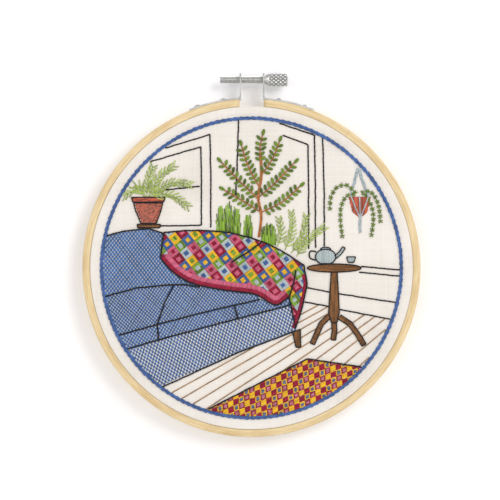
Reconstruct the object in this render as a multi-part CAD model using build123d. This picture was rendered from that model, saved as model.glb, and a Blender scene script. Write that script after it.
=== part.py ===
from build123d import *
import os
from math import atan2, cos, hypot, pi, radians, sin, sqrt

# An embroidery hoop standing upright: the needlework faces -Y, its back plane is y = 0, +Z is up.
# The origin is on the wall plane, right under the clamp screw, where a nail carries the hoop.
# All lengths are in millimetres.

# Driving dimensions of the two wooden rings
outer_radius = 79.0
outer_strip = 3.4
outer_depth = 10.0
ring_clearance = 0.1
cloth = 0.35
inner_strip = 3.2
inner_inset = 0.8
cloth_proud = 0.15
skin_gap = 0.05
edge_round = 0.5

# Clamp hardware
screw_height = 88.2
screw_radius = 1.7
screw_tip = -14.8
thread_end = 6.3
knob_radius = 3.0
knob_end = 16.9
knob_neck = 2.2
knob_chamfer = 0.35
running_clearance = 0.05
loose_clearance = 0.15
left_wood_end = -5.6
right_wood_end = 5.8
left_ear = -5.2
right_ear = 5.7
sheet = 0.8
bracket_width = 8.0
bracket_span = 21.5
ear_above_screw = 3.1
foot_fillet = 1.2
rivet_angles = (9.5, 18.6)
rivet_radius = 1.0
rivet_head_radius = 1.9
rivet_head_height = 0.9

# Cloth margin and its gathering stitches
margin_inner_radius = 55.0
margin_sectors = 16
gather_radius = 59.0
gather_stitches = 36
gather_thread = 0.4

# Stitched picture
border_radius = 70.0
border_width = 1.7
picture_radius = 68.9
stitch_height = 0.3
outline_width = 0.7
throw_band = 2.1
throw_patch = 4.4
rug_patch = 2.7

# Places that follow from the driving dimensions
ring_centre_z = screw_radius - screw_height
inner_radius = outer_radius - outer_strip
cloth_outer = inner_radius - ring_clearance
cloth_inner = cloth_outer - cloth
wood_outer = cloth_inner - skin_gap
wood_inner = wood_outer - inner_strip
margin_back = -(inner_inset - cloth)
cloth_front = -outer_depth - cloth_proud
cloth_back = cloth_front + cloth
mid_depth = -outer_depth / 2


def facing(y):
    """The drawing plane at depth y: local x to the right, local y up, its normal to the viewer."""
    return Plane(origin=(0, y, ring_centre_z), x_dir=(1, 0, 0), z_dir=(0, -1, 0))


def write(name, shape):
    """Writes one named piece, which may be a group of separate solids."""
    solids = shape.solids()
    body = Compound(children=list(solids)) if len(solids) > 1 else solids[0]
    body.label = name
    export_step(body, f"parts/{name}.step")


def annulus(radius, hole, back, front):
    """A flat ring between two depths."""
    sketch = Circle(radius) - Circle(hole)
    return extrude(facing(back) * sketch, back - front)


def polar(radius, degrees_from_top):
    """A point of the drawing plane, its angle measured clockwise from the top."""
    angle = radians(degrees_from_top)
    return (radius * sin(angle), radius * cos(angle))


# ---------------------------------------------------------------- wooden rings


def rivet_axes(side):
    """Angles from the top of the rivets on one side: -1 is left and 1 is right."""
    return [side * angle for angle in rivet_angles]


def radial_cylinder(angle, radius, start, end):
    """A round bar lying along a radius of the hoop, at mid depth."""
    u, v = polar(1, angle)
    base = Plane(
        origin=(start * u, mid_depth, ring_centre_z + start * v),
        x_dir=(0, 1, 0),
        z_dir=(u, 0, v),
    )
    return extrude(base * Circle(radius), end - start)


def make_outer_ring():
    ring = annulus(outer_radius, inner_radius, 0, -outer_depth)
    rims = ring.edges().filter_by(GeomType.CIRCLE).sort_by(lambda edge: edge.radius)[-2:]
    ring = fillet(rims, edge_round)
    gap_width = right_wood_end - left_wood_end
    gap = Box(gap_width, 3 * outer_depth, 4 * outer_strip)
    gap_centre = (left_wood_end + right_wood_end) / 2
    ring -= Pos(gap_centre, mid_depth, ring_centre_z + outer_radius) * gap
    for side in (-1, 1):
        for angle in rivet_axes(side):
            hole = radial_cylinder(
                angle, rivet_radius + running_clearance, inner_radius - 1, outer_radius + 1
            )
            ring -= hole
    return ring


def make_inner_ring():
    ring = annulus(wood_outer, wood_inner, margin_back - cloth - skin_gap, cloth_back + skin_gap)
    return chamfer(ring.edges().filter_by(GeomType.CIRCLE), edge_round / 2)


# ---------------------------------------------------------------- cloth


def make_ground_fabric():
    """The stretched face of the cloth."""
    return extrude(facing(cloth_back) * Circle(cloth_outer), cloth)


def sector(radius, start, end):
    """A pie slice of the drawing plane, slightly larger than the radius, to cut with."""
    middle = (start + end) / 2
    reach = 2 * radius
    return Polygon((0, 0), polar(reach, end), polar(reach, middle), polar(reach, start))


def make_fabric_margin():
    """The margin: down the inner ring's outer wall and gathered flat behind it."""
    wall = annulus(cloth_outer, cloth_inner, margin_back, cloth_back)
    fold = annulus(cloth_inner, margin_inner_radius, margin_back, margin_back - cloth)
    whole = wall + fold
    step = 360 / margin_sectors
    pieces = []
    for k in range(margin_sectors):
        slice_face = sector(outer_radius, k * step, (k + 1) * step)
        slice_solid = extrude(facing(1) * slice_face, outer_depth + 2)
        pieces.append(whole & slice_solid)
    return Compound(children=[solid for piece in pieces for solid in piece.solids()])


def make_gathering_thread():
    """Running stitches that draw the margin together behind the hoop."""
    pitch = 2 * pi * gather_radius / gather_stitches
    stitch = Box(pitch * 0.55, gather_thread, gather_thread)
    stitches = []
    for k in range(gather_stitches):
        angle = 360 * k / gather_stitches
        u, v = polar(gather_radius, angle)
        place = Pos(u, margin_back + gather_thread / 2, ring_centre_z + v) * Rot(0, angle, 0)
        stitches.append(place * stitch)
    return Compound(children=stitches)


# ---------------------------------------------------------------- clamp hardware


def screw_line(radius, start, end):
    """A round bar along the screw's axis."""
    base = Plane(origin=(start, mid_depth, screw_radius), x_dir=(0, 1, 0), z_dir=(1, 0, 0))
    return extrude(base * Circle(radius), end - start)


def make_bracket(side, ear_x, hole_radius):
    """A sheet strip riveted along the ring, bent up into the ear that the screw goes through."""
    strip_inner = outer_radius + running_clearance
    strip_outer = strip_inner + sheet
    ear_start = side * 4.2
    band = Circle(strip_outer) - Circle(strip_inner)
    wedge_points = [(0, 0), polar(2 * outer_radius, ear_start), polar(2 * outer_radius, side * bracket_span)]
    band = band & Polygon(*(wedge_points if side < 0 else reversed(wedge_points)))
    ear_low = sqrt(strip_inner**2 - ear_x**2)
    ear_high = screw_height + ear_above_screw
    ear = Pos(ear_x, (ear_low + ear_high) / 2) * Rectangle(sheet, ear_high - ear_low)
    corner = (ear_x + side * sheet / 2, sqrt(strip_outer**2 - ear_x**2) - 0.1)
    fill = Pos(corner[0] + side * foot_fillet / 2, corner[1] + foot_fillet / 2) * (
        Rectangle(foot_fillet, foot_fillet)
    )
    fill -= Pos(corner[0] + side * foot_fillet, corner[1] + foot_fillet) * Circle(foot_fillet)
    profile = band + ear + fill
    depth_start = mid_depth + bracket_width / 2
    bracket = extrude(facing(depth_start) * profile, bracket_width)
    bracket -= screw_line(hole_radius, ear_x - 2 * sheet, ear_x + 2 * sheet)
    for angle in rivet_axes(side):
        bracket -= radial_cylinder(
            angle, rivet_radius + running_clearance, outer_radius - 1, outer_radius + 3
        )
    top_corners = bracket.edges().filter_by(Axis.X).sort_by(Axis.Z)[-2:]
    return fillet(top_corners, bracket_width * 0.3)


def make_rivets(side):
    """Domed rivets through the bracket and the wood, flush inside the ring."""
    head_start = outer_radius + running_clearance + sheet
    flush = inner_radius + running_clearance
    rivets = []
    for angle in rivet_axes(side):
        shank = radial_cylinder(angle, rivet_radius, flush, head_start + 0.1)
        dome_radius = (rivet_head_radius**2 + rivet_head_height**2) / (2 * rivet_head_height)
        u, v = polar(head_start + rivet_head_height - dome_radius, angle)
        dome = Pos(u, mid_depth, ring_centre_z + v) * Sphere(dome_radius)
        cap = radial_cylinder(angle, rivet_head_radius, head_start, head_start + 2)
        rivets.append(shank + (dome & cap))
    return Compound(children=[solid for rivet in rivets for solid in rivet.solids()])


def make_clamp_screw():
    """A threaded shank and its knurled knob, turned from one bar."""
    shank = screw_line(screw_radius, screw_tip, thread_end + 0.5)
    knob = screw_line(knob_radius, thread_end, knob_end)
    ends = knob.edges().filter_by(GeomType.CIRCLE).sort_by(Axis.X)
    knob = chamfer(ends[-1], knob_chamfer)
    ends = knob.edges().filter_by(GeomType.CIRCLE).sort_by(Axis.X)
    knob = chamfer(ends[0], length=knob_neck, length2=knob_radius - knob_neck)
    return shank + knob


# ---------------------------------------------------------------- drawing tools


def stroke(points, width):
    """A line of thread laid along the points."""
    return Polygon(*stroke_outline(points, width))


def stroke_outline(points, width):
    """The corners of a band of the given width along the points."""
    return shifted(points, width / 2) + shifted(points, -width / 2)[::-1]


def shifted(points, distance):
    """The line moved sideways, to the right of its own direction."""
    moved = []
    for i, (u, v) in enumerate(points):
        before = points[max(i - 1, 0)]
        after = points[min(i + 1, len(points) - 1)]
        d_in = unit(before, points[i]) if i else unit(points[i], after)
        d_out = unit(points[i], after) if i < len(points) - 1 else d_in
        mean = unit((0, 0), (d_in[0] + d_out[0], d_in[1] + d_out[1]))
        reach = distance / max(mean[0] * d_in[0] + mean[1] * d_in[1], 0.5)
        moved.append((u + mean[1] * reach, v - mean[0] * reach))
    return moved


def band(points, near, far):
    """A strip beside a line, between two distances to its right."""
    return shifted(points, near) + shifted(points, far)[::-1]


def unit(start, end):
    """The direction from one point to another."""
    du, dv = end[0] - start[0], end[1] - start[1]
    size = hypot(du, dv)
    return (du / size, dv / size)


def crossings(start, end, polygon):
    """Fractions along the line from start to end where it crosses the polygon's sides."""
    found = []
    du, dv = end[0] - start[0], end[1] - start[1]
    for (a, b), (c, d) in zip(polygon, polygon[1:] + polygon[:1]):
        side_u, side_v = c - a, d - b
        cross = du * side_v - dv * side_u
        if abs(cross) < 1e-9:
            continue
        along = ((a - start[0]) * side_v - (b - start[1]) * side_u) / cross
        across = ((a - start[0]) * dv - (b - start[1]) * du) / cross
        if 0 <= across < 1:
            found.append(along)
    return sorted(found)


def clipped(start, end, polygon):
    """The stretches of the line from start to end that lie inside the polygon."""
    cuts = crossings(start, end, polygon)
    runs = []
    for low, high in zip(cuts[0::2], cuts[1::2]):
        low, high = max(low, 0), min(high, 1)
        if high > low:
            runs.append((between(start, end, low), between(start, end, high)))
    return runs


def between(start, end, share):
    """The point at a share of the way from start to end."""
    return (start[0] + (end[0] - start[0]) * share, start[1] + (end[1] - start[1]) * share)


def arc(centre_point, radius_u, radius_v, start, end, steps):
    """Points round an ellipse, with angles in degrees counterclockwise from the right."""
    points = []
    for k in range(steps + 1):
        angle = radians(start + (end - start) * k / steps)
        points.append((centre_point[0] + radius_u * cos(angle), centre_point[1] + radius_v * sin(angle)))
    return points


def rim(start, end, steps=12):
    """Points round the edge of the picture, just inside its border."""
    return arc((0, 0), picture_radius, picture_radius, start, end, steps)


def plate(sketches, lift=0, height=stitch_height):
    """Stitched areas as flat pads on the cloth."""
    base = facing(cloth_front - lift)
    solids = []
    for sketch in sketches:
        for face in sketch.faces():
            pad = face if face.normal_at().Z > 0 else -face
            solids += extrude(base * pad, height).solids()
    return Compound(children=solids)


def leaf(base, angle, length, width):
    """One pointed leaf: a lozenge that is widest past its middle."""
    du, dv = cos(radians(angle)), sin(radians(angle))
    u, v = base
    return Polygon(
        (u, v),
        (u + 0.6 * length * du + 0.5 * width * dv, v + 0.6 * length * dv - 0.5 * width * du),
        (u + length * du, v + length * dv),
        (u + 0.6 * length * du - 0.5 * width * dv, v + 0.6 * length * dv + 0.5 * width * du),
    )


# ---------------------------------------------------------------- the picture: outlines

throw_top = [(-41, 16.6), (-26, 17.6), (-10, 16.4), (4, 12.6), (14, 8), (24.5, 1.2)]
throw_right = [(26, -8), (23.6, -19), (20.6, -28)]
throw_low = [(17.6, -13.4), (11, -17.4), (2, -12.4), (-12, -10.4), (-27, -7.4), (-36, -2.4), (-42.4, 4.4)]
throw_shape = throw_top + throw_right + throw_low
sofa_shape = rim(232.5, 167.5) + [
    (-60, 17.2), (-48, 18.4), (-30, 17.4), (0, 12), (22, 2), (25.4, -10), (25, -27.6), (-6, -39.4)
]
rug_shape = rim(253, 318) + [(26, -42.4)]
rug_edge = [rug_shape[0], rug_shape[-1], rug_shape[-2]]
seat_back_line = [(-67.4, -13), (-54, -9.4), (-40, -8), (-31, -7.8)]
seat_front_line = [(-61, -31), (-44, -26.4), (-22, -20.6), (0, -15.6), (4, -14.6)]
front_top_line = [(-57, -37.4), (-40, -32.6), (-14, -25.6), (10, -19.4), (18.6, -17)]
cushion_splits = [[(-36, -7.6), (-40.5, -16), (-44, -26.4), (-43.4, -33.4)], [(-8, -17.4), (-6.4, -23.4)]]
floor_shape = rim(237, 338) + [(28, -17.8), (25.8, -29), (-6, -41)]
wall_lines = [
    [(28, -9.6), (35.4, -11)], [(41.6, -12.2), (67.2, -16)],
    [(27.4, -16.4), (35, -17.8)], [(41.4, -19.4), (64.4, -23.8)],
    [(52.6, 0.6), (68.6, -0.8)], [(52.6, -2.2), (68.5, -3.8)],
    [(-6, 68.4), (-6.8, 45), (-7.4, 34)],
]
left_window = [
    [(-40.2, 56), (-19.4, 62.4), (-19, 42), (-19, 19)],
    [(-40.6, 51.6), (-23.6, 56.6), (-23.4, 40), (-23.4, 20), (-40.4, 19.6)],
    [(-40.6, 36.4), (-24.2, 38.2)],
]
right_window = [
    [(14, 67.2), (29.4, 62), (29.8, 40), (29.8, 14)],
    [(33.4, 60), (34, 36), (34, 12)],
    [(14.6, 62), (26.4, 57.6), (26.6, 40), (26.6, 18)],
]

pot_shape = [(-55, 30.4), (-41.4, 30.4), (-42.2, 27), (-44.4, 20.8), (-51.6, 20.8), (-54.2, 27)]
pot_rim = [(-56, 33), (-40.4, 33), (-41, 30.8), (-55.4, 30.8)]
stool_shape = [(-53.4, 20.4), (-42.4, 20.4), (-42.8, 18.8), (-53, 18.8)]
leg_shape = [(19.6, -30.6), (23.8, -29), (23.4, -37), (21.2, -37)]
table_top = arc((38.6, 0), 12.6, 1.9, 0, 360, 24)[:-1]
table_stem = [(37.2, -2.1), (40, -2.1), (40.6, -12), (41, -21), (39.8, -25.6), (37.4, -25.6), (36, -21), (36.6, -12)]
foot_width = 2.2
table_feet = [
    [(36.4, -22.4), (32.6, -26), (30.4, -31), (28.4, -35.4)],
    [(41, -22.8), (46, -26), (49.6, -31), (52.6, -36)],
    [(38.6, -25.8), (38.8, -29.6), (38.2, -33.6)],
]
teapot_shape = arc((34.6, 5.2), 4.8, 3.6, -62, 242, 18)
teapot_spout = [(39.2, 5), (41.6, 7.2), (43.2, 9.6)]
teapot_handle = [(30.2, 7.6), (27.4, 7.8), (27.2, 4.8), (30, 3.6)]
cup_shape = [(44.4, 5.2), (48.6, 5.2), (47.8, 2.6), (45.2, 2.6)]
basket_shape = [(45.4, 33.2), (55.6, 33.2), (54, 26), (50.8, 23.4), (47.2, 26)]
hanger_cords = [
    [(46.4, 34), (48.6, 42), (49.6, 46.6)],
    [(54.6, 34), (51.4, 42), (50.6, 46)],
    [(50.8, 23), (50.6, 19.4), (50.9, 16.4)],
]
vines = [
    [(48.6, 35), (44.6, 38.6), (40, 37.8), (37.2, 33.4), (36.6, 28)],
    [(51.6, 35.2), (55, 35.8), (57.8, 33), (59.6, 28), (60.2, 22)],
    [(47.8, 34.4), (44, 33.2), (41.8, 28), (41.6, 21.4), (42.4, 15)],
    [(53, 34.4), (56, 29.2), (57, 23), (56, 15.6)],
]
trunk = [(3.4, 14.4), (4.6, 24), (3.2, 33), (4.6, 43), (4.2, 54)]
branches = [
    [(4.4, 26), (-3.6, 31), (-12.6, 36.4)], [(3.4, 32), (-6, 41), (-14, 49.4)],
    [(3.6, 38), (-1.6, 47.6), (-4.6, 57)], [(4.4, 43), (9.8, 51), (13, 59)],
    [(3.4, 33), (12, 40.6), (20, 49)], [(4.4, 26), (14, 30.6), (22.6, 38)],
    [(4.3, 48), (4, 56), (5.2, 62)],
]
fronds = [
    [(-50, 33.4), (-54, 36.4), (-59, 34)], [(-49.4, 33.4), (-52, 37.6), (-53.8, 38.4)],
    [(-48.8, 33.4), (-48.4, 40), (-46, 47)], [(-48, 33.4), (-42.6, 43), (-36.4, 47.4)],
    [(-47.4, 33.4), (-38, 39.6), (-29, 39)], [(-47, 33.2), (-38.4, 34.4), (-30, 29)],
]
sills = [[(12, 10), (14, 16), (12.8, 22.6)], [(15.6, 8.4), (19, 17), (18.8, 25.6)],
         [(18.6, 7), (24, 15), (25.6, 24)], [(21, 5.4), (26.4, 13), (33.6, 19)]]
grass_tufts = [((-14.4, 17.8), 12), ((-10.8, 17.2), 15), ((-7.2, 16.2), 13), ((-1.6, 14.8), 11),
               ((6.6, 12.2), 9), ((9.4, 11), 11)]


# ---------------------------------------------------------------- the picture: stitched pieces


def throw_core():
    """The patchwork of the throw, inside its two edge bands."""
    return throw_top + throw_right + throw_low[:1] + shifted(throw_low, 2 * throw_band)


def patch_cells(colour, colours, size, turn, area, skew=0):
    """Squares of one colour from a chequered patchwork, cut to the area's shape."""
    reach = int(picture_radius / size) + 2
    area_face = Polygon(*area)
    low, high = area_face.bounding_box().min, area_face.bounding_box().max
    du, dv = cos(radians(turn)) * size, sin(radians(turn)) * size
    eu, ev = -sin(radians(turn + skew)) * size, cos(radians(turn + skew)) * size
    cells = []
    for i in range(-reach, reach):
        for j in range(-reach, reach):
            if (i + 2 * j) % colours != colour:
                continue
            u, v = i * du + j * eu, i * dv + j * ev
            if not (low.X - size < u < high.X + size and low.Y - size < v < high.Y + size):
                continue
            cell = Polygon((u, v), (u + du, v + dv), (u + du + eu, v + dv + ev), (u + eu, v + ev))
            kept = cell & area_face
            cells += [face for face in kept.faces() if face.area > 0.5] if kept else []
    return cells


def make_sofa_filling():
    return plate([Polygon(*sofa_shape) - Polygon(*throw_shape)])


def make_floor_lines():
    """Plank seams that run towards one far point on the right."""
    far = (150, 45)
    standing = [rug_shape, stroke_outline(rug_edge, 2 * outline_width), leg_shape, table_stem]
    standing += [stroke_outline(foot, 2 * foot_width) for foot in table_feet]
    seams = []
    for k in range(13):
        near = (-78 + 9.4 * k, -60)
        seams += clipped(near, far, floor_shape)
    for shape in standing:
        seams = [run for seam in seams for run in outside(*seam, shape)]
    seams = [trimmed(seam, 0.9) for seam in seams if length_of(seam) > 3]
    return plate([stroke(seam, outline_width * 0.7) for seam in seams])


def trimmed(run, amount):
    """A run shortened by the same amount at both ends."""
    share = amount / length_of(run)
    return (between(*run, share), between(*run, 1 - share))


def outside(start, end, polygon):
    """The stretches of a line that lie outside the polygon."""
    cuts = [cut for cut in crossings(start, end, polygon) if 0 < cut < 1]
    marks = [0] + cuts + [1]
    runs = []
    for low, high in zip(marks, marks[1:]):
        middle = between(start, end, (low + high) / 2)
        if not inside(middle, polygon):
            runs.append((between(start, end, low), between(start, end, high)))
    return runs


def inside(point, polygon):
    """Whether a point lies inside the polygon."""
    far = (point[0] + 500, point[1] + 1)
    return len([cut for cut in crossings(point, far, polygon) if 0 < cut < 1]) % 2 == 1


def length_of(run):
    return hypot(run[1][0] - run[0][0], run[1][1] - run[0][1])


def leaves_along(line, count, length, width, lean):
    """Pairs of leaves up a stem, with one at its tip."""
    leaves = []
    for k in range(count):
        share = (k + 1) / (count + 0.3) * (len(line) - 1)
        i = min(int(share), len(line) - 2)
        point = between(line[i], line[i + 1], share - i)
        du, dv = unit(line[i], line[i + 1])
        heading = atan2(dv, du) * 180 / pi
        for side in (-1, 1):
            foot = (point[0] - side * 0.25 * dv, point[1] + side * 0.25 * du)
            leaves.append(leaf(foot, heading + side * lean, length, width))
    tip = line[-1]
    leaves.append(leaf((tip[0] + 0.2 * du, tip[1] + 0.2 * dv), heading, length, width))
    return leaves


def make_grass():
    """Tufts of upright blades behind the sofa."""
    blades = []
    for (u, v), height in grass_tufts:
        for k in range(5):
            foot = (u + (k - 2) * 0.62, v + abs(k - 2) * 0.3)
            blades.append(stroke([foot, (foot[0] + (k - 2) * 0.12, v + height - abs(k - 2) * 2)], 0.5))
    return plate(blades)


def write_hardware():
    write("outer_ring", make_outer_ring())
    write("inner_ring", make_inner_ring())
    write("left_bracket", make_bracket(-1, left_ear, screw_radius + running_clearance))
    write("right_bracket", make_bracket(1, right_ear, screw_radius + loose_clearance))
    write("left_rivets", make_rivets(-1))
    write("right_rivets", make_rivets(1))
    write("clamp_screw", make_clamp_screw())


def write_cloth():
    write("ground_fabric", make_ground_fabric())
    write("fabric_margin", make_fabric_margin())
    write("gathering_thread", make_gathering_thread())


def write_fillings():
    outer_edge = Circle(border_radius + border_width / 2)
    write("border_stitching", plate([outer_edge - Circle(border_radius - border_width / 2)]))
    write("sofa_filling", make_sofa_filling())
    for k, name in enumerate(("pink", "green", "blue", "yellow", "red", "sky")):
        cells = patch_cells(k, 6, throw_patch, 38, throw_core())
        if name == "red":
            cells.append(Polygon(*band(throw_low, 0, throw_band)))
        if name == "pink":
            cells.append(Polygon(*band(throw_low, throw_band, 2 * throw_band)))
        write(f"throw_{name}", plate(cells))
    for k, name in enumerate(("red", "yellow", "pink", "blue")):
        write(f"rug_{name}", plate(patch_cells(k, 4, rug_patch, 22, rug_shape, -18)))
    write("plant_pot", plate([Polygon(*pot_shape), Polygon(*pot_rim)]))
    write("pot_stool", plate([Polygon(*stool_shape)]))
    write("sofa_leg", plate([Polygon(*leg_shape)]))
    feet = [stroke(foot, foot_width) for foot in table_feet]
    write("side_table", plate([Polygon(*table_top), Polygon(*table_stem), *feet]))
    write("tea_set", plate([Polygon(*teapot_shape), Polygon(*cup_shape)]))
    write("hanging_pot", plate([Polygon(*basket_shape)]))


def write_lines():
    write("floor_lines", make_floor_lines())
    lines = wall_lines + left_window + right_window
    write("wall_lines", plate([stroke(line, outline_width) for line in lines]))
    sofa_lines = [seat_back_line, seat_front_line, front_top_line, *cushion_splits]
    back = sofa_shape[13:17]
    base = [sofa_shape[-2], sofa_shape[-1], (-41, -55.2)]
    sofa_lines += [back, base]
    write("sofa_outline", plate([stroke(line, outline_width) for line in sofa_lines], stitch_height))
    throw_line = stroke(throw_shape + [(-41.2, 15.8)], outline_width)
    write("throw_outline", plate([throw_line], 2 * stitch_height))
    write("rug_outline", plate([stroke(rug_edge, outline_width)], stitch_height))
    table_lines = [table_top, table_stem[:1] + table_stem[:-5:-1], table_stem[1:5]]
    table_lines = [stroke(line, 0.8 * outline_width) for line in table_lines]
    write("table_outline", plate(table_lines, stitch_height))
    tea_lines = [teapot_spout, teapot_handle]
    write("tea_outline", plate([stroke(line, outline_width) for line in tea_lines], stitch_height))
    write("hanger_cords", plate([stroke(line, 1.2) for line in hanger_cords]))


def write_plants():
    wood = [stroke(trunk, 1.3)] + [stroke(line, 0.7) for line in branches]
    write("tree_trunk", plate(wood, stitch_height))
    leaves = [shape for line in branches for shape in leaves_along(line, 4, 3.2, 1.7, 58)]
    write("tree_leaves", plate(leaves, 2 * stitch_height))
    leaves = [shape for line in fronds + sills for shape in leaves_along(line, 6, 3.6, 0.9, 38)]
    write("fern_leaves", plate(leaves, stitch_height))
    write("grass_blades", make_grass())
    leaves = [shape for line in vines for shape in leaves_along(line, 6, 1.9, 0.9, 60)]
    write("vine_leaves", plate(leaves, 2 * stitch_height))
    write("vine_stems", plate([stroke(line, 0.5) for line in vines], stitch_height))


os.makedirs("parts", exist_ok=True)
write_hardware()
write_cloth()
write_fillings()
write_lines()
write_plants()
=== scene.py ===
"""An embroidery hoop: two bamboo rings, a clamp screw and a cotton cloth stitched with a sitting room."""

import random
from math import asin, atan2, cos, degrees, hypot, pi, radians, sin

import bpy
import numpy as np
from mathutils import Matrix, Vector


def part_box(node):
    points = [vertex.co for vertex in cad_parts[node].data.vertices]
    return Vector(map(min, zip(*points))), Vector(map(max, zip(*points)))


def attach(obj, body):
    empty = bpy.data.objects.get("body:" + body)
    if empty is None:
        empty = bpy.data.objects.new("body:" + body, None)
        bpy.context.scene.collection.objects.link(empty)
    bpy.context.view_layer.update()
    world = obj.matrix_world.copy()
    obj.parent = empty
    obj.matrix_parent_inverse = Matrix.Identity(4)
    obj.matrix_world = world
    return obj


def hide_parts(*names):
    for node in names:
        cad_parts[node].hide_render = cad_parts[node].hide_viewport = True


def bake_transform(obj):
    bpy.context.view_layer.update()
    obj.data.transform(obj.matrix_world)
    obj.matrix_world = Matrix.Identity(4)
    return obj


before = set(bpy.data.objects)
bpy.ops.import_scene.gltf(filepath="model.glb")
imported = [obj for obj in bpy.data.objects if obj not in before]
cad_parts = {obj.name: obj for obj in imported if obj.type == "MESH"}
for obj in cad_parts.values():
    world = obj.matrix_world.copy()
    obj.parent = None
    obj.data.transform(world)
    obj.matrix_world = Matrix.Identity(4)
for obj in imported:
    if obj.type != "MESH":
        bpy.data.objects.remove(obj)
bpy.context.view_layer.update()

# The picture is drawn in millimetres: u to the right, v up and h out of the cloth, from the ring's centre.
MM = 0.001

ring_low, ring_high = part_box("inner_ring")
ring_z = (ring_low.z + ring_high.z) / 2
cloth_low, cloth_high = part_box("ground_fabric")
cloth_y = cloth_low.y
outer_low, outer_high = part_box("outer_ring")
screw_low, screw_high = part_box("clamp_screw")

outer_radius = (outer_high.x - outer_low.x) / 2 / MM
outer_strip = 3.4
inner_radius = outer_radius - outer_strip
cloth_radius = (cloth_high.x - cloth_low.x) / 2 / MM
cloth_thickness = 0.35
margin_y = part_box("fabric_margin")[1].y / MM
margin_radius = 55.0
# The stitched face lies this far below the cloth's rolled edge.
drum_drop = 0.15

border_radius = 70.0
picture_radius = 68.9
thread_width = 0.62
outline_width = 0.74


# ---- helpers


def smooth(low, high, value):
    """0 below low, 1 above high and an even curve between."""
    share = np.clip((value - low) / (high - low), 0, 1)
    return share * share * (3 - 2 * share)


def add_mesh(name, points, faces, material, smooth_shading=True):
    """A mesh object from points in metres and faces."""
    mesh = bpy.data.meshes.new(name)
    mesh.from_pydata(points, [], faces)
    mesh.update()
    mesh.polygons.foreach_set("use_smooth", [smooth_shading] * len(mesh.polygons))
    mesh.materials.append(material)
    made = bpy.data.objects.new(name, mesh)
    bpy.context.scene.collection.objects.link(made)
    return made


def loop_faces(rows, columns, end_cap=False):
    """Quads over rows of points that close into loops, with a cap on the first row and maybe the last."""
    faces = []
    for i in range(rows - 1):
        low, high = i * columns, (i + 1) * columns
        for j in range(columns):
            k = (j + 1) % columns
            faces.append((low + j, low + k, high + k, high + j))
    faces.append(tuple(range(columns))[::-1])
    if end_cap:
        faces.append(tuple(range((rows - 1) * columns, rows * columns)))
    return faces


def unit(start, end):
    du, dv = end[0] - start[0], end[1] - start[1]
    size = hypot(du, dv) or 1.0
    return (du / size, dv / size)


def between(start, end, share):
    return (start[0] + (end[0] - start[0]) * share, start[1] + (end[1] - start[1]) * share)


def ahead(start, direction, distance):
    """The point at a distance along a direction."""
    return (start[0] + direction[0] * distance, start[1] + direction[1] * distance)


def aim(angle):
    """The direction at an angle, in degrees counterclockwise from the right."""
    return (cos(radians(angle)), sin(radians(angle)))


def on_ring(radius, angle, y):
    """A point in metres round the hoop's axis, at an angle in radians clockwise from the top."""
    return (radius * sin(angle) * MM, y * MM, ring_z + radius * cos(angle) * MM)


def arc(middle, radius_u, radius_v, start, end, steps):
    """Points round an ellipse, with angles in degrees counterclockwise from the right."""
    angles = [radians(start + (end - start) * k / steps) for k in range(steps + 1)]
    return [(middle[0] + radius_u * cos(angle), middle[1] + radius_v * sin(angle)) for angle in angles]


def rim(start, end, steps=12, radius=picture_radius):
    """Points round the edge of the picture, just inside its border."""
    return arc((0, 0), radius, radius, start, end, steps)


def shifted(points, distance):
    """The line moved sideways, to the right of its own direction."""
    moved = []
    for i, (u, v) in enumerate(points):
        before = points[max(i - 1, 0)]
        after = points[min(i + 1, len(points) - 1)]
        d_in = unit(before, points[i]) if i else unit(points[i], after)
        d_out = unit(points[i], after) if i < len(points) - 1 else d_in
        mean = unit((0, 0), (d_in[0] + d_out[0], d_in[1] + d_out[1]))
        reach = distance / max(mean[0] * d_in[0] + mean[1] * d_in[1], 0.5)
        moved.append((u + mean[1] * reach, v - mean[0] * reach))
    return moved


def band(points, near, far):
    """A strip beside a line, between two distances to its right."""
    return shifted(points, near) + shifted(points, far)[::-1]


def resample(line, pitch, closed=False):
    """Points along a line at an even pitch, its corners kept between the pieces that they end."""
    points = list(line) + ([line[0]] if closed else [])
    made = [points[0]]
    for a, b in zip(points, points[1:]):
        length = hypot(b[0] - a[0], b[1] - a[1])
        count = max(1, round(length / pitch))
        made += [between(a, b, (k + 1) / count) for k in range(count)]
    return made


def curved(line, steps=6):
    """A smooth curve through the points of a line."""
    points = [line[0]] + list(line) + [line[-1]]
    made = []
    for a, b, c, d in zip(points, points[1:], points[2:], points[3:]):
        for k in range(steps):
            t = k / steps
            made.append(tuple(
                0.5 * (2 * b[m] + (c[m] - a[m]) * t + (2 * a[m] - 5 * b[m] + 4 * c[m] - d[m]) * t * t
                       + (3 * b[m] - a[m] - 3 * c[m] + d[m]) * t ** 3)
                for m in (0, 1)
            ))
    return made + [line[-1]]


def along(line, pitch):
    """Points at an even pitch along a curved line, with the direction of each."""
    lengths = [0.0]
    for a, b in zip(line, line[1:]):
        lengths.append(lengths[-1] + hypot(b[0] - a[0], b[1] - a[1]))
    count = max(1, round(lengths[-1] / pitch))
    made = []
    i = 0
    for k in range(count + 1):
        target = lengths[-1] * k / count
        while i < len(line) - 2 and lengths[i + 1] < target:
            i += 1
        share = (target - lengths[i]) / max(lengths[i + 1] - lengths[i], 1e-9)
        made.append((between(line[i], line[i + 1], share), unit(line[i], line[i + 1])))
    return made


def spans(start, direction, polygon):
    """The stretches of an endless line that lie inside a polygon, as pairs of distances."""
    cuts = []
    for (a, b), (c, d) in zip(polygon, polygon[1:] + polygon[:1]):
        side_u, side_v = c - a, d - b
        cross = direction[0] * side_v - direction[1] * side_u
        if abs(cross) < 1e-9:
            continue
        distance = ((a - start[0]) * side_v - (b - start[1]) * side_u) / cross
        across = ((a - start[0]) * direction[1] - (b - start[1]) * direction[0]) / cross
        if 0 <= across < 1:
            cuts.append(distance)
    cuts.sort()
    return list(zip(cuts[0::2], cuts[1::2]))


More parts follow.
